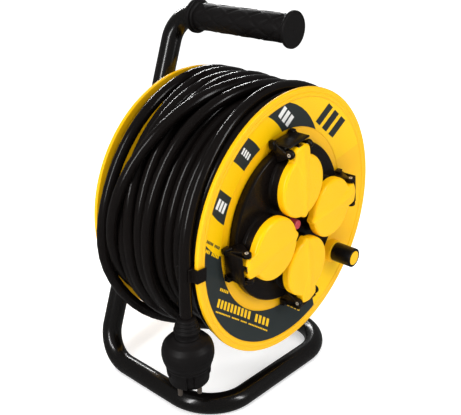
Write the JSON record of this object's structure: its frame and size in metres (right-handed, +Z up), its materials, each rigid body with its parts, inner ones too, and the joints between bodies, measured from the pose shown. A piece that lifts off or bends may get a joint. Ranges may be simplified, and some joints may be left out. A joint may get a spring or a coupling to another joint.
{
  "type": "extension cord reel",
  "caption": "Cable reel with a bent tube stand and rubber grip, a plastic drum of rubber cable, and lidded sockets with a reset button in its open face.",
  "frame": {"origin": "on the floor, under the middle of the reel's bounding box (cable and plug left out)", "axes": "+Z up; the drum turns about Y and its sockets face -Y; +X is the right-hand side seen from the sockets"},
  "size_m": [0.3108, 0.2165, 0.4083],
  "materials": {
    "tube": "gloss",
    "rubber": "matte",
    "cable": "satin",
    "drum": "satin",
    "black_plastic": "satin",
    "grey_plastic": "matte",
    "button": "satin",
    "steel": "satin",
    "zinc": "satin",
    "brass": "satin"
  },
  "bodies": {
    "frame": {"frame_tube": "tube", "tube_end_plug": "rubber", "hand_grip": "rubber", "axle_bracket": "tube", "bracket_bolt_left": "zinc", "bracket_bolt_right": "zinc", "bracket_nut_left": "zinc", "bracket_nut_right": "zinc", "axle": "steel", "axle_nut": "zinc", "axle_washer": "zinc", "axle_locknut": "zinc", "cable_tail": "cable", "plug_strain_relief": "rubber", "plug_body": "rubber", "plug_pin_a": "steel", "plug_pin_b": "steel", "cord_clip": "black_plastic"},
    "drum": {"front_flange": "drum", "drum_core": "drum", "bush_front": "grey_plastic", "bush_rear": "grey_plastic", "drum_screw_1": "zinc", "drum_screw_2": "zinc", "drum_screw_3": "zinc", "drum_screw_4": "zinc", "cable_gland": "rubber", "terminal_block": "grey_plastic", "cable_winding": "cable", "socket_panel": "black_plastic", "thermal_cutout": "grey_plastic", "socket_1": "grey_plastic", "socket_2": "grey_plastic", "socket_3": "grey_plastic", "socket_4": "grey_plastic", "earth_clip_1": "brass", "earth_clip_2": "brass", "earth_clip_3": "brass", "earth_clip_4": "brass", "hinge_pin_1": "steel", "hinge_pin_2": "steel", "hinge_pin_3": "steel", "hinge_pin_4": "steel", "lid_spring_1": "steel", "lid_spring_2": "steel", "lid_spring_3": "steel", "lid_spring_4": "steel", "crank_spindle": "steel"},
    "knob": {"knob_sleeve": "black_plastic", "knob_cap": "drum"},
    "reset": {"reset_button": "button"},
    "lid_1": {"lid_1": "drum", "lid_gasket_1": "rubber"},
    "lid_2": {"lid_2": "drum", "lid_gasket_2": "rubber"},
    "lid_3": {"lid_3": "drum", "lid_gasket_3": "rubber"},
    "lid_4": {"lid_4": "drum", "lid_gasket_4": "rubber"}
  },
  "joints": [
    {"name": "drum_spin", "type": "hinge", "parent": "frame", "child": "drum", "pos_m": [0, -0.01414, 0.197], "axis": [0, 1, 0], "continuous": true},
    {"name": "lid_1_hinge", "type": "hinge", "parent": "drum", "child": "lid_1", "pos_m": [0.08564, -0.09754, 0.21287], "axis": [-0.1822, 0, 0.9833], "range_deg": [0, 105], "stiffness_Nm_per_rad": 0.03, "springref_deg": -45.84},
    {"name": "lid_2_hinge", "type": "hinge", "parent": "drum", "child": "lid_2", "pos_m": [-0.01587, -0.09754, 0.28264], "axis": [-0.9833, 0, -0.1822], "range_deg": [0, 105], "stiffness_Nm_per_rad": 0.03, "springref_deg": -45.84},
    {"name": "lid_3_hinge", "type": "hinge", "parent": "drum", "child": "lid_3", "pos_m": [-0.08564, -0.09754, 0.18113], "axis": [0.1822, 0, -0.9833], "range_deg": [0, 105], "stiffness_Nm_per_rad": 0.03, "springref_deg": -45.84},
    {"name": "lid_4_hinge", "type": "hinge", "parent": "drum", "child": "lid_4", "pos_m": [0.01587, -0.09754, 0.11136], "axis": [0.9833, 0, 0.1822], "range_deg": [0, 105], "stiffness_Nm_per_rad": 0.03, "springref_deg": -45.84},
    {"name": "knob_spin", "type": "hinge", "parent": "drum", "child": "knob", "pos_m": [0.0904, -0.08414, 0.1341], "axis": [0, 1, 0], "continuous": true},
    {"name": "reset_press", "type": "slide", "parent": "drum", "child": "reset", "axis": [0, 1, 0], "range_m": [0, 0.0025], "stiffness_N_per_m": 800, "springref_m": -0.001}
  ]
}
